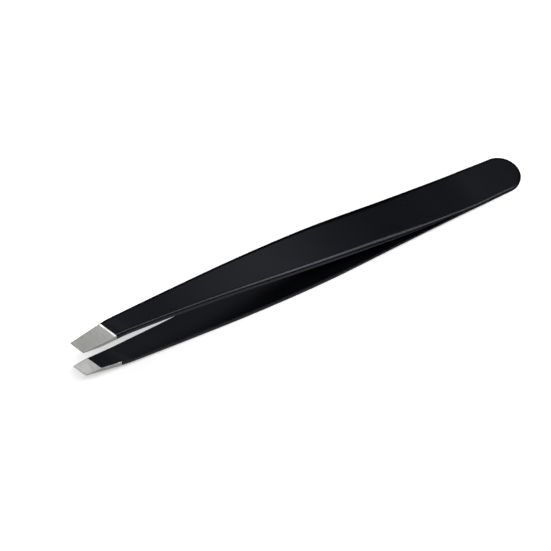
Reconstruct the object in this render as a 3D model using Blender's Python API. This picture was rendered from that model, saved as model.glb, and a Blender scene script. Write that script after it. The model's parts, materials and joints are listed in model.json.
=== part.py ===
"""Slant tweezers: two black-coated spring-steel strips, spot-welded together at the heel.

Each strip is one piece of metal that bends just ahead of the welds. It is cut there into a heel
plate and a stiff blade, which turns on the axis about which a leaf spring of this shape bends.

Everything is drawn in the tool's own frame: "station" is the distance from the heel end towards
the tips, y runs across the strip, and z is the height above the plane midway between the arms.
The tool is then laid down on a table, where it rests on its heel end and on the belly of the
lower arm, so the tips stand a little higher than the heel. In the finished part the tips point
to -X, +Z is up, and the origin is at the bottom centre of the bounding box.
"""

from math import asin, atan, atan2, cos, hypot, pi, radians, sin, tan

import bmesh
import bpy
from mathutils import Euler, Matrix, Vector

MM = 0.001

# Driving dimensions, in millimetres and degrees
LENGTH = 95.0
SLANT = 24.0  # angle of the tip edge to square across
SLANT_FROM = 57.0  # station from which the cross-sections lean over towards that angle
HEEL_WIDTH = 8.2
MATING_GAP = 0.1  # between the two strips at the heel
HEEL_THICKNESS = 0.5
BLADE_THICKNESS = 1.3
THINNED_UNTIL = 16.0  # the strip is thin up to this station
THICK_FROM = 48.0  # and has its full thickness from this one
OUTER_EDGE_RADIUS = 0.42
INNER_EDGE_RADIUS = 0.17
OUTER_EDGE_SHARE = 0.45  # of the thickness that an edge radius takes at most
INNER_EDGE_SHARE = 0.25

# Width of a strip at stations along it
WIDTHS = [
    (4.1, 8.2), (12.0, 8.65), (20.0, 8.7), (30.0, 8.65), (42.0, 8.3),
    (52.0, 7.6), (62.0, 6.55), (75.0, 5.1), (88.0, 3.8),
]

# Height of a strip's inner face above the mid-plane: flat at the heel, then bowed out, then toed in
BOW = [
    (11.5, 0.05), (20.0, 0.55), (28.0, 1.15), (36.0, 1.9), (44.0, 2.7),
    (52.0, 3.45), (64.0, 4.3), (76.0, 4.65), (86.0, 4.65), (88.0, 4.58), (92.2, 3.88),
]

# Stretch of the outer face that fingertips press, level with the mid-plane
GRIP = (76.0, 86.0)

# Ground tip
TIP_FAR = 1.2  # half-widths of the tip edge, on the leading and the trailing side
TIP_NEAR = 1.5
TIP_THICKNESS = 0.3
JAW_LENGTH = 2.8  # flat gripping face on the inside
LEDGE_FROM_TIP = 5.8  # where the coating and the full thickness end on the outside
LEDGE_STEP = 0.2
LEDGE_RAMP = 0.24
SHOULDER = 1.4  # from the ledge to the bevel, level apart from the ledge's own ramp

# Bending
PIVOT_STATION = 22.0
SPLIT_GAP = 0.1
CLOSED_CLEARANCE = 0.04  # left under each jaw when the arms are closed

# Spot welds
WELD_STATIONS = {"spot_weld_rear": 4.2, "spot_weld_front": 8.8}
WELD_RADIUS = 1.4
WELD_DEPTH = 0.22  # from the mid-plane into each strip
WELD_CLEARANCE = 0.05

# Mesh fineness
NOSE_STEPS = 10
EDGE_STEPS = 3
DISC_SIDES = 24
HEEL_SPACING = 1.5
BLADE_SPACING = 2.7
SHARP_ANGLE = 35.0

SETTLING_ROUNDS = 8  # until the jaw's slope and its closing angle agree


def smooth_curve(points, station):
    """A smooth line through the points, level at both ends and straight beyond them."""
    if station <= points[0][0]:
        return points[0][1]
    if station >= points[-1][0]:
        return points[-1][1]
    slopes = [0.0]
    for before, here, after in zip(points, points[1:], points[2:]):
        slopes.append((after[1] - before[1]) / (after[0] - before[0]))
    slopes.append((points[-1][1] - points[-2][1]) / (points[-1][0] - points[-2][0]))
    span = next(i for i, point in enumerate(points[1:]) if station <= point[0])
    (x0, v0), (x1, v1) = points[span], points[span + 1]
    run = x1 - x0
    u = (station - x0) / run
    start = (1 + 2 * u) * (1 - u) ** 2 * v0 + u * (1 - u) ** 2 * run * slopes[span]
    end = u * u * (3 - 2 * u) * v1 + u * u * (u - 1) * run * slopes[span + 1]
    return start + end


def spaced(start, end, step):
    count = max(1, round((end - start) / step))
    return [start + (end - start) * i / count for i in range(count + 1)]


def smooth_step(u):
    u = min(max(u, 0.0), 1.0)
    return u * u * (3 - 2 * u)


JAW_START = LENGTH - JAW_LENGTH
LEDGE = LENGTH - LEDGE_FROM_TIP
BEVEL_START = LEDGE + SHOULDER


def closing_angle(tip_height):
    """The turn that brings the tip edge down to its clearance from the mid-plane."""
    reach = LENGTH - PIVOT_STATION
    rise = tip_height - pivot_height()
    drop = CLOSED_CLEARANCE - pivot_height()
    return atan2(rise, reach) - asin(drop / hypot(reach, rise))


def pivot_height():
    return smooth_curve(BOW, PIVOT_STATION) + thickness(PIVOT_STATION) / 2


def jaw_tilt():
    """The jaw rises towards the tip by the closing angle, so closed jaws lie flat on each other."""
    tilt = 0.0
    for _ in range(SETTLING_ROUNDS):
        tilt = closing_angle(smooth_curve(BOW, JAW_START) + JAW_LENGTH * tan(tilt))
    return tilt


def inner_height(station):
    if station <= JAW_START:
        return smooth_curve(BOW, station)
    return smooth_curve(BOW, JAW_START) + (station - JAW_START) * tan(jaw_tilt())


def thickness(station):
    if station <= LEDGE:
        grown = smooth_step((station - THINNED_UNTIL) / (THICK_FROM - THINNED_UNTIL))
        return HEEL_THICKNESS + (BLADE_THICKNESS - HEEL_THICKNESS) * grown
    ground = BLADE_THICKNESS - LEDGE_STEP * min((station - LEDGE) / LEDGE_RAMP, 1.0)
    if station <= BEVEL_START:
        return ground
    start = inner_height(BEVEL_START) + ground
    end = inner_height(LENGTH) + TIP_THICKNESS
    done = (station - BEVEL_START) / (LENGTH - BEVEL_START)
    return start + (end - start) * done - inner_height(station)


def half_widths(station):
    """Half-widths on the side of the leading corner (far) and on the other side (near)."""
    half = smooth_curve(WIDTHS, station) / 2
    done = max(station - WIDTHS[-1][0], 0.0) / (LENGTH - WIDTHS[-1][0])
    return half + (TIP_FAR - half) * done, half + (TIP_NEAR - half) * done


def shear(station):
    """How far the cross-sections lean towards the slant of the tip edge."""
    return tan(radians(SLANT)) * smooth_step((station - SLANT_FROM) / (LEDGE - SLANT_FROM))


def edge_levels(thick):
    """(inset, height) pairs up one rounded side of the strip, from the inner face to the outer."""
    inner = min(INNER_EDGE_RADIUS, INNER_EDGE_SHARE * thick)
    outer = min(OUTER_EDGE_RADIUS, OUTER_EDGE_SHARE * thick)
    levels = []
    for step in range(EDGE_STEPS):
        turn = pi / 2 * step / (EDGE_STEPS - 1)
        levels.append((inner * (1 - sin(turn)), inner * (1 - cos(turn))))
    for step in range(EDGE_STEPS + 1):
        turn = pi / 2 * step / EDGE_STEPS
        levels.append((outer * (1 - cos(turn)), thick - outer * (1 - sin(turn))))
    return levels


def nose_loop(turn):
    """A cross-section through the round heel end, at this turn from its very end."""
    radius = HEEL_WIDTH / 2
    levels = edge_levels(HEEL_THICKNESS)
    loop = []
    for side, ordered in ((1, levels), (-1, levels[::-1])):
        for inset, height in ordered:
            out = radius - inset
            loop.append((radius - out * cos(turn), side * out * sin(turn), MATING_GAP / 2 + height))
    if turn == 0:
        return loop[: len(levels)]
    return loop


def strip_loop(station):
    """A cross-section through the strip whose far corner is at this station.

    The jaws slope along the tool but not across it, so where a section leans with the slant, the
    part of it that lies further back is a little higher.
    """
    far, near = half_widths(station)
    rise = -tan(jaw_tilt()) * smooth_step((station - GRIP[1]) / (LEDGE - GRIP[1]))
    levels = edge_levels(thickness(station))
    loop = []
    for side, half, ordered in ((1, far, levels), (-1, near, levels[::-1])):
        for inset, height in ordered:
            y = side * (half - inset)
            back = shear(station) * (far - y)
            loop.append((station - back, y, inner_height(station) + rise * back + height))
    return loop


def join_loops(mesh, first, second):
    """Bands of faces from one cross-section to the next one towards the tips."""
    if len(first) < len(second):
        levels = len(first)
        partner = list(range(levels)) + list(range(levels))[::-1]
        first = [first[i] for i in partner]
    count = len(second)
    for here in range(count):
        after = (here + 1) % count
        corners = [first[here], first[after], second[after], second[here]]
        ring = []
        for corner in corners:
            if corner not in ring:
                ring.append(corner)
        mesh.faces.new(ring)


def solid(name, loops, origin, mirror, material, parent):
    """A closed body through the cross-sections, on the upper side or mirrored to the lower one."""
    flip = -1 if mirror else 1
    mesh = bmesh.new()
    rows = []
    for loop in loops:
        row = []
        for station, y, z in loop:
            place = Vector((LENGTH / 2 - station, y, flip * z)) - origin
            row.append(mesh.verts.new(place * MM))
        rows.append(row)
    for first, second in zip(rows, rows[1:]):
        join_loops(mesh, first, second)
    mesh.faces.new(rows[-1])
    if len(rows[0]) == len(rows[-1]):  # the round heel end comes to an edge and has no cap
        mesh.faces.new(rows[0])
    bmesh.ops.recalc_face_normals(mesh, faces=mesh.faces)
    return finish(name, mesh, origin, material, parent)


def finish(name, mesh, origin, material, parent):
    data = bpy.data.meshes.new(name)
    mesh.to_mesh(data)
    mesh.free()
    data.shade_smooth()
    data.set_sharp_from_angle(angle=radians(SHARP_ANGLE))
    data.materials.append(material)
    piece = bpy.data.objects.new(name, data)
    piece.location = origin * MM
    piece.parent = parent
    bpy.context.scene.collection.objects.link(piece)
    return piece


def disc(name, station, radius, profile, material, parent):
    """A round body about a vertical axis, through (radius fraction, height) rings."""
    mesh = bmesh.new()
    rows = []
    for fraction, height in profile:
        row = []
        for step in range(DISC_SIDES):
            turn = 2 * pi * step / DISC_SIDES
            reach = radius * fraction * MM
            row.append(mesh.verts.new((reach * cos(turn), reach * sin(turn), height * MM)))
        rows.append(row)
    for first, second in zip(rows, rows[1:]):
        join_loops(mesh, first, second)
    mesh.faces.new(rows[0])
    mesh.faces.new(rows[-1])
    bmesh.ops.recalc_face_normals(mesh, faces=mesh.faces)
    return finish(name, mesh, Vector((LENGTH / 2 - station, 0, 0)), material, parent)


def surface(name, color, metallic, roughness):
    material = bpy.data.materials.new(name)
    material.use_nodes = True
    shader = material.node_tree.nodes["Principled BSDF"]
    shader.inputs["Base Color"].default_value = (*color, 1)
    shader.inputs["Metallic"].default_value = metallic
    shader.inputs["Roughness"].default_value = roughness
    return material


def heel_loops():
    """From the round end to the cut. One plain stretch keeps each heel's outer face truly flat."""
    loops = [nose_loop(pi / 2 * step / NOSE_STEPS) for step in range(NOSE_STEPS)]
    flat_end = BOW[0][0]
    stations = [HEEL_WIDTH / 2, flat_end]
    stations += spaced(flat_end, PIVOT_STATION - SPLIT_GAP / 2, HEEL_SPACING)[1:]
    return loops + [strip_loop(station) for station in stations]


def blade_loops():
    stations = spaced(PIVOT_STATION + SPLIT_GAP / 2, GRIP[0], BLADE_SPACING)
    stations += [GRIP[1], GRIP[1] + 1, GRIP[1] + 2, LEDGE, LEDGE + LEDGE_RAMP]
    stations += [BEVEL_START, JAW_START, LENGTH]
    return [strip_loop(station) for station in stations]


def weld_pocket(name, station, parent, material):
    depth = WELD_DEPTH + WELD_CLEARANCE
    profile = [(1, -depth), (1, depth)]
    cutter = disc(name + "_pocket", station, WELD_RADIUS + WELD_CLEARANCE, profile, material, parent)
    cutter.hide_render = True
    cutter.display_type = "WIRE"
    return cutter


def lay_down(tool):
    """Turn the tool about Y until heel end and belly touch the table, and centre it on the origin."""
    heel_depth = MATING_GAP / 2 + HEEL_THICKNESS
    heel_edge = min(OUTER_EDGE_RADIUS, OUTER_EDGE_SHARE * HEEL_THICKNESS)
    slopes = []
    for station in spaced(PIVOT_STATION, LEDGE, 0.5):
        depth = inner_height(station) + thickness(station)
        slopes.append((depth - heel_depth) / (station - heel_edge))
    tool.rotation_euler = Euler((0, atan(max(slopes)), 0))
    turn = tool.rotation_euler.to_matrix().to_4x4()
    corners = []
    for piece in tool.children:
        if not piece.hide_render:
            place = turn @ Matrix.Translation(piece.location)
            corners += [place @ vertex.co for vertex in piece.data.vertices]
    low = [min(corner[axis] for corner in corners) for axis in range(3)]
    high = [max(corner[axis] for corner in corners) for axis in range(3)]
    tool.location = (-(low[0] + high[0]) / 2, -(low[1] + high[1]) / 2, -low[2])


def build():
    for old in list(bpy.data.objects):
        bpy.data.objects.remove(old)
    coating = surface("black_coating", (0.016, 0.016, 0.018), 0.0, 0.38)
    upper_coating = surface("upper_blade_coating", (0.018, 0.018, 0.02), 0.0, 0.36)
    lower_coating = surface("lower_blade_coating", (0.014, 0.014, 0.016), 0.0, 0.4)
    steel = surface("weld_steel", (0.5, 0.5, 0.48), 1.0, 0.45)

    tool = bpy.data.objects.new("tool", None)
    bpy.context.scene.collection.objects.link(tool)

    plates = []
    for side, blade_coating in (("upper", upper_coating), ("lower", lower_coating)):
        mirror = side == "lower"
        height = -pivot_height() if mirror else pivot_height()
        pivot = Vector((LENGTH / 2 - PIVOT_STATION, 0, height))
        plates.append(solid(side + "_heel", heel_loops(), Vector(), mirror, coating, tool))
        solid(side + "_blade", blade_loops(), pivot, mirror, blade_coating, tool)

    lens = [(0.5, -WELD_DEPTH), (0.85, -0.7 * WELD_DEPTH), (1, 0), (0.85, 0.7 * WELD_DEPTH), (0.5, WELD_DEPTH)]
    for name, station in WELD_STATIONS.items():
        disc(name, station, WELD_RADIUS, lens, steel, tool)
        pocket = weld_pocket(name, station, tool, steel)
        for plate in plates:
            cut = plate.modifiers.new(name, "BOOLEAN")
            cut.object = pocket
            cut.operation = "DIFFERENCE"
            cut.solver = "EXACT"

    lay_down(tool)


build()
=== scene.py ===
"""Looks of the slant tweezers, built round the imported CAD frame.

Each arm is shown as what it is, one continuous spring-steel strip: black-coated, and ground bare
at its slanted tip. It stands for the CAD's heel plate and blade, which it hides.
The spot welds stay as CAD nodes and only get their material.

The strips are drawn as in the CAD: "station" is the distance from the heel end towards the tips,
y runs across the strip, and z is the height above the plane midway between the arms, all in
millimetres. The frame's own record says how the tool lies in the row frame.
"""

import json
from math import asin, atan2, cos, hypot, pi, radians, sin, tan

import bmesh
import bpy
from mathutils import Matrix, Vector


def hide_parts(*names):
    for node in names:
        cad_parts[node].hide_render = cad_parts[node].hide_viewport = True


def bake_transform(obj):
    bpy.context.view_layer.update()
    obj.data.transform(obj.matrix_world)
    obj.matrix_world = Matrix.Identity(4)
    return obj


MM = 0.001

# Driving dimensions of the strips, the same as in the CAD
LENGTH = 95.0
SLANT = 24.0
SLANT_FROM = 57.0
HEEL_WIDTH = 8.2
HEEL_THICKNESS = 0.5
BLADE_THICKNESS = 1.3
THINNED_UNTIL = 16.0
THICK_FROM = 48.0
WIDTHS = [
    (4.1, 8.2), (12.0, 8.65), (20.0, 8.7), (30.0, 8.65), (42.0, 8.3),
    (52.0, 7.6), (62.0, 6.55), (75.0, 5.1), (88.0, 3.8),
]
BOW = [
    (11.5, 0.05), (20.0, 0.55), (28.0, 1.15), (36.0, 1.9), (44.0, 2.7),
    (52.0, 3.45), (64.0, 4.3), (76.0, 4.65), (86.0, 4.65), (88.0, 4.58), (92.2, 3.88),
]
GRIP = (76.0, 86.0)
TIP_FAR = 1.2
TIP_NEAR = 1.5
TIP_THICKNESS = 0.3
JAW_LENGTH = 2.8
LEDGE_FROM_TIP = 5.8
LEDGE_STEP = 0.2
LEDGE_RAMP = 0.24
SHOULDER = 1.4
PIVOT_STATION = 22.0
CLOSED_CLEARANCE = 0.04

# Edges. The outer face rolls off towards its sides, ever more so towards the heel, and ends in
# a small round corner; the inner face only has the small corner.
ROLL_RADIUS = [(4.0, 0.9), (21.0, 1.2), (34.0, 1.85), (46.0, 1.35), (60.0, 1.05), (84.0, 0.8)]
ROLL_TILT = 38.0
CORNER_RADIUS = 0.15
INNER_TILT = 45.0  # where the two halves of the inner corner's arc meet
GROUND_FAR_RADIUS = 0.14  # at the ground tip, on the side of the leading corner
GROUND_NEAR_RADIUS = 0.05

# Ground tip
BEVEL_ROUNDING = 2.2  # stretch over which the shoulder turns into the bevel
LOWER_BARE_SIDE = 0.75  # how much further back the near side of the lower arm is bare

# Mesh fineness
NOSE_STEPS = 28
OUTER_STEPS = 8
INNER_STEPS = 5
COLUMNS = 6  # across each face
RING_SPACING = 0.8
NECK_SPACING = 0.5  # from the grip to the ledge
GROUND_SPACING = 0.2  # from the ledge to the jaw
JAW_SPACING = 0.3
EDGE_CHANGE = 0.02  # past the ledge, where the rolled edges have given way to the ground ones
SHARP_ANGLE = 20.0
SUPPORT = 0.05  # from a rounded edge to the row of points that keeps the face beside it flat
POINT_DECIMALS = 5  # points that agree to this many decimals of a millimetre are one
STATION_SLACK = 0.01  # a ring this little before a boundary counts as on it
TILT_ROUNDS = 8  # after these the jaw tilt has settled

# Material slots of the strips
COATING_SLOT = 0
STEEL_SLOT = 1

# Coating. Stretches and depths are in millimetres
COATING_COLOURS = ((0.0010, 0.0011, 0.0016, 1), (0.0016, 0.0017, 0.0024, 1))
COATING_ROUGHNESS = (0.27, 0.295)
COATING_SPECULAR = 0.25
COATING_TINT = (0.79, 0.83, 1.0, 1)
BLOTCH_STRETCH = (6.0, 4.0, 4.0)
GRAIN_STRETCH = (0.16, 0.16, 0.16)
GRAIN_DEPTH = 0.006
GRAIN_STRENGTH = 0.25

# Steel
GROUND_TINT = (0.74, 0.75, 0.7)
GROUND_STRETCH = (0.12, 1.6, 1.6)
WELD_TINT = (0.42, 0.4, 0.37)
WELD_STRETCH = (0.5, 0.5, 0.5)
STEEL_SHADES = (0.86, 1.06)  # the darkest and the lightest lines, as parts of the tint
STEEL_ROUGHNESS = (0.32, 0.42)
CLOUD_STRETCH = (1.4, 1.4, 1.4)
LINE_DEPTH = 0.01
LINE_STRENGTH = 0.35

# Camera: the photograph's view
CAMERA_AZIMUTH = -29.05
CAMERA_ELEVATION = 59.93
CAMERA_ROLL = -0.08
CAMERA_DISTANCE = 232.76
CAMERA_TARGET = (-7.678, -1.007, 6.0)
CAMERA_LENS = 83.07
SENSOR_WIDTH = 36.0
CLIP_START = 10.0
CLIP_END = 20000.0

# Floor, with painted shade: it glows less in a patch under the tool
FLOOR_HALF_SIZE = 4000.0
FLOOR_COLOUR = (0.8, 0.8, 0.8, 1)
FLOOR_ROUGHNESS = 0.6
FLOOR_GLOW_IN_PAINTED_SHADE = 0.45  # glow under the tool, dimmed there as painted shade; the floor round it glows white
PAINTED_SHADE_PATCH = (45.0, 10.0)  # half-lengths, along x and y, of the ellipse of painted shade, where the floor glows less
PAINTED_SHADE_FADE = 1.3  # times the ellipse's size at which the painted shade has faded and the glow has become white

# Light of the surround, which fades from straight below upwards
WORLD_BELOW = 0.47
WORLD_ROUND = 0.0
WORLD_ROUND_FROM = -0.35  # the height of a direction, where -1 is straight down and 0 is level

# Panels behind the tool, facing straight down: name, place along the tool, width and radiance
BACK_PANELS = [
    ("back_far_left", -112, 55, 0.98),
    ("back_left", -10, 80, 1.17),
    ("back_centre", 55, 50, 0.17),
    ("back_right", 120, 80, 1.35),
    ("back_far_right", 175, 30, 1.95),
    ("back_end", 250, 60, 0.64),
]
BACK_DISTANCE = 140
BACK_HEIGHT = 260
BACK_DEPTH = 170

# The other panels: name, place, the point each faces, width, height and radiance
AIMED_PANELS = [
    ("front", (180, -114, 300), (10, 0, 0), 120, 100, 11.7),
    ("front_right", (300, -114, 300), (10, 0, 0), 120, 100, 4.7),
    ("top", (10, -150, 400), (0, 0, 0), 300, 90, 8.0),
    ("left", (-360, -20, 180), (-40, 0, 0), 240, 100, 3.2),
]


def smooth_curve(points, station):
    """A smooth line through the points, level at both ends and straight beyond them."""
    if station <= points[0][0]:
        return points[0][1]
    if station >= points[-1][0]:
        return points[-1][1]
    slopes = [0.0]
    for before, here, after in zip(points, points[1:], points[2:]):
        slopes.append((after[1] - before[1]) / (after[0] - before[0]))
    slopes.append((points[-1][1] - points[-2][1]) / (points[-1][0] - points[-2][0]))
    span = next(i for i, point in enumerate(points[1:]) if station <= point[0])
    (x0, v0), (x1, v1) = points[span], points[span + 1]
    return cubic((x0, v0, slopes[span]), (x1, v1, slopes[span + 1]), station)


def cubic(start, end, station):
    """The smooth line between two (station, value, slope) ends."""
    x0, v0, slope0 = start
    x1, v1, slope1 = end
    run = x1 - x0
    u = (station - x0) / run
    first = (1 + 2 * u) * (1 - u) ** 2 * v0 + u * (1 - u) ** 2 * run * slope0
    last = u * u * (3 - 2 * u) * v1 + u * u * (u - 1) * run * slope1
    return first + last


def spaced(start, end, step):
    """Evenly spaced values from start to end, about a step apart."""
    count = max(1, round((end - start) / step))
    return [start + (end - start) * i / count for i in range(count + 1)]


def smooth_step(u):
    u = min(max(u, 0.0), 1.0)
    return u * u * (3 - 2 * u)


JAW_START = LENGTH - JAW_LENGTH
LEDGE = LENGTH - LEDGE_FROM_TIP
BEVEL_START = LEDGE + SHOULDER


def pivot_height():
    return smooth_curve(BOW, PIVOT_STATION) + thickness(PIVOT_STATION) / 2


def closing_angle(tip_height):
    """The turn that brings the tip edge down to its clearance from the mid-plane."""
    reach = LENGTH - PIVOT_STATION
    rise = tip_height - pivot_height()
    drop = CLOSED_CLEARANCE - pivot_height()
    return atan2(rise, reach) - asin(drop / hypot(reach, rise))


def jaw_tilt():
    """The jaw rises towards the tip by the closing angle, so closed jaws lie flat on each other."""
    tilt = 0.0
    for _ in range(TILT_ROUNDS):
        tilt = closing_angle(smooth_curve(BOW, JAW_START) + JAW_LENGTH * tan(tilt))
    return tilt


def inner_height(station):
    if station <= JAW_START:
        return smooth_curve(BOW, station)
    return smooth_curve(BOW, JAW_START) + (station - JAW_START) * tan(JAW_TILT)


def thickness(station):
    if station <= LEDGE:
        grown = smooth_step((station - THINNED_UNTIL) / (THICK_FROM - THINNED_UNTIL))
        return HEEL_THICKNESS + (BLADE_THICKNESS - HEEL_THICKNESS) * grown
    ramp = min((station - LEDGE) / LEDGE_RAMP, 1.0)
    ground = BLADE_THICKNESS - LEDGE_STEP * ramp
    if station <= BEVEL_START - BEVEL_ROUNDING / 2:
        return ground
    return bevel_height(station, ground) - inner_height(station)


def bevel_height(station, ground):
    """Height of the outer face where it turns from the shoulder into the straight bevel."""
    top = inner_height(BEVEL_START) + ground
    slope = (inner_height(LENGTH) + TIP_THICKNESS - top) / (LENGTH - BEVEL_START)
    turn_start = BEVEL_START - BEVEL_ROUNDING / 2
    turn_end = BEVEL_START + BEVEL_ROUNDING / 2
    if station >= turn_end:
        return top + slope * (station - BEVEL_START)
    shoulder = inner_height(turn_start) + ground
    shoulder_slope = (inner_height(BEVEL_START) - inner_height(turn_start)) / (BEVEL_START - turn_start)
    end_height = top + slope * (turn_end - BEVEL_START)
    return cubic((turn_start, shoulder, shoulder_slope), (turn_end, end_height, slope), station)


def half_widths(station):
    """Half-widths on the side of the leading corner (far) and on the other side (near)."""
    half = smooth_curve(WIDTHS, station) / 2
    done = max(station - WIDTHS[-1][0], 0.0) / (LENGTH - WIDTHS[-1][0])
    return half + (TIP_FAR - half) * done, half + (TIP_NEAR - half) * done


def shear(station):
    """How far the cross-sections lean towards the slant of the tip edge."""
    return tan(radians(SLANT)) * smooth_step((station - SLANT_FROM) / (LEDGE - SLANT_FROM))


JAW_TILT = jaw_tilt()


def edge_points(roll, tilt, corner, steps):
    """(inset, drop) pairs from the side of the strip to its face.

    A corner arc turns from upright to the tilt, and a wider one rolls on from there to the face.
    """
    points = []
    for step in range(steps):
        turn = tilt + (pi / 2 - tilt) * (1 - step / steps)
        points.append((roll * sin(tilt) + corner * (sin(turn) - sin(tilt)),
                       roll * (1 - cos(tilt)) + corner * (cos(tilt) - cos(turn))))
    for step in range(steps + 1):
        turn = tilt * (1 - step / steps)
        points.append((roll * sin(turn), roll * (1 - cos(turn))))
    reach = points[0][0]
    return [(reach - out, drop) for out, drop in points]


def half_outline(station, side):
    """(inset, height, zone) up one side, from the inner face's support row to the outer face's.

    The zone is that of the surface between this point and the next one.
    """
    thick = thickness(station)
    corner = CORNER_RADIUS
    roll = smooth_curve(ROLL_RADIUS, station)
    if station > LEDGE:
        corner = roll = GROUND_FAR_RADIUS if side > 0 else GROUND_NEAR_RADIUS
    inner = edge_points(corner, radians(INNER_TILT), corner, INNER_STEPS)
    outer = edge_points(roll, radians(ROLL_TILT), corner, OUTER_STEPS)
    rows = [(inner[-1][0] + SUPPORT, 0.0, "inner")]
    for inset, rise in inner[::-1]:
        rows.append((inset, rise, "side"))
    for inset, drop in outer:
        rows.append((inset, thick - drop, "side"))
    rows.append((outer[-1][0] + SUPPORT, thick, "outer"))
    return rows


def outline(station, place):
    """One cross-section: up the far side, across the outer face, down the near side and back.

    place(side, inset, fraction) gives (station, y, lift): a point at this inset from a side, and
    lift is how much higher it is than the section's own height. Faces run between the two sides.
    """
    rows = half_outline(station, 1)
    back = half_outline(station, -1)[::-1]
    ring = []

    def add(side, inset, height, share, zone):
        along, y, lift = place(side, inset, share)
        ring.append(((along, y, inner_height(station) + lift + height), zone))

    for inset, height, zone in rows:
        add(1, inset, height, 1, zone)
    for column in range(1, COLUMNS):
        add(1, rows[-1][0], rows[-1][1], 1 - 2 * column / COLUMNS, "outer")
    back_zones = ["side"] + [zone for _, _, zone in back[1:]]
    for (inset, height, _), zone in zip(back, back_zones):
        add(-1, inset, height, 1, zone)
    for column in range(1, COLUMNS):
        add(-1, back[-1][0], back[-1][1], 1 - 2 * column / COLUMNS, "inner")
    return ring


def nose_ring(turn):
    """A cross-section through the round heel end, at this turn from its very end."""
    radius = HEEL_WIDTH / 2

    def place(side, inset, share):
        out = radius - inset
        return radius - out * cos(turn), side * share * out * sin(turn), 0.0

    return outline(0.0, place)


def strip_ring(station):
    """A cross-section through the strip whose far corner is at this station."""
    far, near = half_widths(station)
    rise = -tan(JAW_TILT) * smooth_step((station - GRIP[1]) / (LEDGE - GRIP[1]))

    def place(side, inset, share):
        far_y = far - inset
        near_y = -(near - inset)
        here, there = (far_y, near_y) if side > 0 else (near_y, far_y)
        y = there + (here - there) * (1 + share) / 2
        back = shear(station) * (far - y)
        return station - back, y, rise * back

    return outline(station, place)


def stations():
    """Where the far corners of the strip's cross-sections are, ahead of the round heel end."""
    body = spaced(HEEL_WIDTH / 2, GRIP[1], RING_SPACING)
    body += spaced(GRIP[1], LEDGE, NECK_SPACING)[1:]
    tip = [LEDGE + EDGE_CHANGE] + spaced(LEDGE + LEDGE_RAMP, JAW_START, GROUND_SPACING)
    tip += spaced(JAW_START, LENGTH, JAW_SPACING)[1:]
    return body + tip


def surface_kind(station, zone, lower_near_side):
    """The material slot of the surface ahead of this station."""
    bare_from = LEDGE
    if zone == "inner":
        bare_from = JAW_START
    elif zone == "side" and lower_near_side:
        bare_from = LEDGE - LOWER_BARE_SIDE
    return STEEL_SLOT if station > bare_from - STATION_SLACK else COATING_SLOT


def strip(name, placement, mirror, materials):
    """One whole arm's strip, on the upper side or mirrored to the lower one."""
    flip = -1 if mirror else 1
    mesh = bmesh.new()
    own = mesh.verts.layers.float_vector.new("tool_place")
    known = {}

    def vertex(point):
        key = tuple(round(value, POINT_DECIMALS) for value in point)
        if key not in known:
            along, y, z = point
            made = mesh.verts.new(placement @ Vector((LENGTH / 2 - along, y, flip * z)) * MM)
            made[own] = (along, y, z)
            known[key] = made
        return known[key]

    rings = [(0.0, nose_ring(pi / 2 * step / NOSE_STEPS)) for step in range(NOSE_STEPS)]
    rings += [(station, strip_ring(station)) for station in stations()]
    rows = [(station, [(vertex(point), zone) for point, zone in ring]) for station, ring in rings]
    for (station, first), (_, second) in zip(rows, rows[1:]):
        count = len(second)
        for here in range(count):
            after = (here + 1) % count
            corners = [first[here][0], first[after][0], second[after][0], second[here][0]]
            ring = []
            for corner in corners:
                if corner not in ring:
                    ring.append(corner)
            if len(ring) < 3:
                continue
            face = mesh.faces.new(ring)
            lower_near_side = mirror and ring[0][own].y < 0
            face.material_index = surface_kind(station, second[here][1], lower_near_side)
    cap = mesh.faces.new([corner for corner, _ in rows[-1][1]])
    cap.material_index = STEEL_SLOT
    bmesh.ops.recalc_face_normals(mesh, faces=mesh.faces)
    data = bpy.data.meshes.new(name)
    mesh.to_mesh(data)
    mesh.free()
    data.shade_smooth()
    data.set_sharp_from_angle(angle=radians(SHARP_ANGLE))
    for material in materials:
        data.materials.append(material)
    piece = bpy.data.objects.new(name, data)
    bpy.context.scene.collection.objects.link(piece)
    return piece


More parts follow.
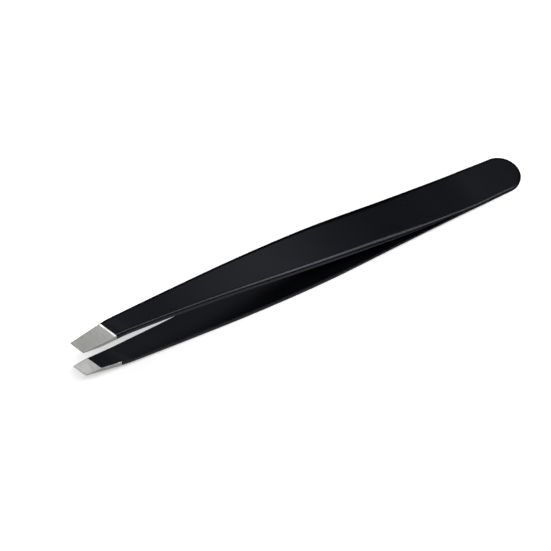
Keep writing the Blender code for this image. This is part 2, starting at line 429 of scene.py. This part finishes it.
class Nodes:
    """Short hand for building a material's node tree."""

    def __init__(self, name):
        self.material = bpy.data.materials.new(name)
        self.material.use_nodes = True
        self.tree = self.material.node_tree
        self.shader = self.tree.nodes["Principled BSDF"]

    def add(self, kind, inputs=None, **settings):
        node = self.tree.nodes.new(kind)
        for key, value in settings.items():
            setattr(node, key, value)
        for key, value in (inputs or {}).items():
            if isinstance(value, bpy.types.NodeSocket):
                self.tree.links.new(value, node.inputs[key])
            else:
                node.inputs[key].default_value = value
        return node

    def attribute(self, name):
        return self.add("ShaderNodeAttribute", attribute_name=name)

    def noise(self, place, stretch, detail):
        """Noise in the tool's own millimetres, drawn out along each axis by the stretch."""
        mapped = self.add(
            "ShaderNodeMapping",
            {"Vector": place, "Scale": tuple(1 / length for length in stretch)},
        )
        node = self.add(
            "ShaderNodeTexNoise",
            {"Vector": mapped.outputs["Vector"], "Scale": 1.0, "Detail": detail},
        )
        return node.outputs["Fac"]

    def ranged(self, value, low, high, from_low=0.3, from_high=0.7):
        """The value spread from low to high; noise mostly lies between the two default bounds."""
        node = self.add(
            "ShaderNodeMapRange",
            {"Value": value, "From Min": from_low, "From Max": from_high, "To Min": low, "To Max": high},
        )
        return node.outputs["Result"]

    def mix(self, factor, first, second):
        node = self.add("ShaderNodeMix", data_type="RGBA")
        for socket, value in ((node.inputs[0], factor), (node.inputs[6], first), (node.inputs[7], second)):
            if isinstance(value, bpy.types.NodeSocket):
                self.tree.links.new(value, socket)
            else:
                socket.default_value = value
        return node.outputs[2]

    def bump(self, height, strength, depth):
        """A bumped normal; the depth is in millimetres."""
        inputs = {"Height": height, "Strength": strength, "Distance": depth * MM}
        return self.add("ShaderNodeBump", inputs).outputs["Normal"]

    def to_shader(self, **inputs):
        """Set or link the shader's inputs, with _ for each space in their names."""
        for key, value in inputs.items():
            socket = self.shader.inputs[key.replace("_", " ")]
            if isinstance(value, bpy.types.NodeSocket):
                self.tree.links.new(value, socket)
            else:
                socket.default_value = value


def coating_material():
    """Satin black baked coating, with a fine grain and faint blotches."""
    nodes = Nodes("satin_black_coating")
    place = nodes.attribute("tool_place").outputs["Vector"]
    blotch = nodes.noise(place, BLOTCH_STRETCH, detail=0.0)
    grain = nodes.noise(place, GRAIN_STRETCH, detail=3.0)
    colour = nodes.mix(nodes.ranged(blotch, 0, 1), *COATING_COLOURS)
    rough = nodes.ranged(blotch, *COATING_ROUGHNESS)
    normal = nodes.bump(grain, GRAIN_STRENGTH, GRAIN_DEPTH)
    nodes.to_shader(Base_Color=colour, Roughness=rough, Normal=normal)
    nodes.to_shader(Specular_IOR_Level=COATING_SPECULAR, Specular_Tint=COATING_TINT)
    return nodes.material


def steel_material(name, stretch, tint):
    """Bare stainless steel, whose fine lines are drawn out along each axis by the stretch."""
    nodes = Nodes(name)
    place = nodes.attribute("tool_place").outputs["Vector"]
    lines = nodes.noise(place, stretch, detail=3.0)
    cloud = nodes.noise(place, CLOUD_STRETCH, detail=2.0)
    dark, light = (tuple(shade * value for value in tint) + (1,) for shade in STEEL_SHADES)
    colour = nodes.mix(nodes.ranged(lines, 0, 1), dark, light)
    rough = nodes.ranged(cloud, *STEEL_ROUGHNESS)
    normal = nodes.bump(lines, LINE_STRENGTH, LINE_DEPTH)
    nodes.to_shader(Base_Color=colour, Roughness=rough, Normal=normal, Metallic=1.0)
    return nodes.material


def tool_placement(record):
    """The tool's own frame in the row frame, in millimetres.

    Its pitch is that of the heel's flat outer face, and its place that of the upper arm's pivot.
    """
    faces = {mount["name"]: mount for mount in record["mounts"]}
    joints = {joint["name"]: joint for joint in record["behaviour"]["joints"]}
    up = Vector(faces["upper_heel_face"]["axis"])
    turn = Matrix.Rotation(atan2(up.x, up.z), 4, "Y")
    own_pivot = Vector((LENGTH / 2 - PIVOT_STATION, 0, pivot_height()))
    pivot = Vector(joints["upper_flex"]["pos_m"]) / MM
    return Matrix.Translation(pivot - turn @ own_pivot) @ turn


def add_strip(name, placement, mirror, materials):
    """The strip of one arm, bowed from the heel towards the tip; it hides the arm's CAD heel plate and
    blade.
    """
    side = "lower" if mirror else "upper"
    piece = strip(name, placement, mirror, materials)
    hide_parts(side + "_heel", side + "_blade")
    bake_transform(piece)


def add_floor():
    """A white table, which glows less in a patch under the tool than it does round it: painted shade under
    the tool.
    """
    size = FLOOR_HALF_SIZE * MM
    mesh = bpy.data.meshes.new("floor")
    corners = [(-size, -size, 0), (size, -size, 0), (size, size, 0), (-size, size, 0)]
    mesh.from_pydata(corners, [], [(0, 1, 2, 3)])
    nodes = Nodes("white_table_with_painted_shade")
    nodes.to_shader(Base_Color=FLOOR_COLOUR, Roughness=FLOOR_ROUGHNESS)
    place = nodes.add("ShaderNodeTexCoord").outputs["Object"]
    shrink = (1 / (PAINTED_SHADE_PATCH[0] * MM), 1 / (PAINTED_SHADE_PATCH[1] * MM), 1)
    mapped = nodes.add("ShaderNodeMapping", {"Vector": place, "Scale": shrink}).outputs["Vector"]
    away = nodes.add("ShaderNodeVectorMath", {0: mapped}, operation="LENGTH").outputs["Value"]
    # Painted shade: the glow is dimmed in an ellipse under the tool and rises to white round it
    floor_glow_with_painted_shade = nodes.ranged(away, FLOOR_GLOW_IN_PAINTED_SHADE, 1.0, 1.0, PAINTED_SHADE_FADE)
    nodes.to_shader(Emission_Color=(1, 1, 1, 1), Emission_Strength=floor_glow_with_painted_shade)
    mesh.materials.append(nodes.material)
    floor = bpy.data.objects.new("floor", mesh)
    bpy.context.scene.collection.objects.link(floor)
    floor.visible_glossy = False


def add_panel(name, place, aim, width, height, radiance):
    """A soft rectangular light at a place, in millimetres, turned towards a point.

    Its radiance is what a mirror facing it would show, where 1 is white.
    """
    light = bpy.data.lights.new(name, "AREA")
    light.shape = "RECTANGLE"
    light.size = width * MM
    light.size_y = height * MM
    light.energy = radiance * pi * width * height * MM * MM
    lamp = bpy.data.objects.new(name, light)
    lamp.location = Vector(place) * MM
    lamp.rotation_mode = "QUATERNION"
    lamp.rotation_quaternion = (Vector(aim) - Vector(place)).to_track_quat("-Z", "Y")
    lamp.visible_camera = False
    bpy.context.scene.collection.objects.link(lamp)


def add_world():
    """White to the camera; to the metal, dark but for a dim light from below."""
    world = bpy.data.worlds.new("studio")
    world.use_nodes = True
    tree = world.node_tree
    background = tree.nodes["Background"]
    place = tree.nodes.new("ShaderNodeTexCoord")
    split = tree.nodes.new("ShaderNodeSeparateXYZ")
    depth = tree.nodes.new("ShaderNodeMapRange")
    path = tree.nodes.new("ShaderNodeLightPath")
    seen = tree.nodes.new("ShaderNodeMath")
    seen.operation = "MAXIMUM"
    depth.inputs["From Min"].default_value = -1.0
    depth.inputs["From Max"].default_value = WORLD_ROUND_FROM
    depth.inputs["To Min"].default_value = WORLD_BELOW
    depth.inputs["To Max"].default_value = WORLD_ROUND
    tree.links.new(place.outputs["Generated"], split.inputs[0])
    tree.links.new(split.outputs["Z"], depth.inputs["Value"])
    tree.links.new(depth.outputs["Result"], seen.inputs[0])
    tree.links.new(path.outputs["Is Camera Ray"], seen.inputs[1])
    tree.links.new(seen.outputs[0], background.inputs["Strength"])
    background.inputs["Color"].default_value = (1, 1, 1, 1)
    bpy.context.scene.world = world


def add_camera():
    """The camera, on a line through its target at the azimuth and elevation, and rolled a little."""
    azimuth = radians(CAMERA_AZIMUTH)
    elevation = radians(CAMERA_ELEVATION)
    back = Vector((sin(azimuth) * cos(elevation), -cos(azimuth) * cos(elevation), sin(elevation)))
    data = bpy.data.cameras.new("camera")
    data.lens = CAMERA_LENS
    data.sensor_width = SENSOR_WIDTH
    data.clip_start = CLIP_START * MM
    data.clip_end = CLIP_END * MM
    camera = bpy.data.objects.new("camera", data)
    camera.location = (Vector(CAMERA_TARGET) + back * CAMERA_DISTANCE) * MM
    camera.rotation_mode = "QUATERNION"
    level = (-back).to_track_quat("-Z", "Y")
    lean = Matrix.Rotation(radians(CAMERA_ROLL), 4, "Z").to_quaternion()
    camera.rotation_quaternion = level @ lean
    bpy.context.scene.collection.objects.link(camera)
    bpy.context.scene.camera = camera


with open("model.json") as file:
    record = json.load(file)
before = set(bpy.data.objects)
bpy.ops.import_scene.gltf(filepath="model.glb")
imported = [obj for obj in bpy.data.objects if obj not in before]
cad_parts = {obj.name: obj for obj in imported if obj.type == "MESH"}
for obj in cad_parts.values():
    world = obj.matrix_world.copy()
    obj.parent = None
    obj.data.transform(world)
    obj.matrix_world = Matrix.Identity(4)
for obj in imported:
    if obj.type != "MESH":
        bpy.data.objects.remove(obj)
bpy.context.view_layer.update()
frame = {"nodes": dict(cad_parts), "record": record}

placement = tool_placement(frame["record"])
coating = coating_material()
steel = steel_material("ground_steel", GROUND_STRETCH, GROUND_TINT)
weld_steel = steel_material("weld_steel", WELD_STRETCH, WELD_TINT)
add_strip("upper_strip", placement, False, [coating, steel])
add_strip("lower_strip", placement, True, [coating, steel])
for weld in ("spot_weld_front", "spot_weld_rear"):
    frame["nodes"][weld].material_slots[0].material = weld_steel

add_world()
add_floor()
for name, along, width, radiance in BACK_PANELS:
    place = (along, BACK_DISTANCE, BACK_HEIGHT)
    below = (along, BACK_DISTANCE, 0)
    add_panel(name, place, below, width, BACK_DEPTH, radiance)
for panel in AIMED_PANELS:
    add_panel(*panel)
add_camera()
bpy.context.scene.view_settings.view_transform = "Standard"
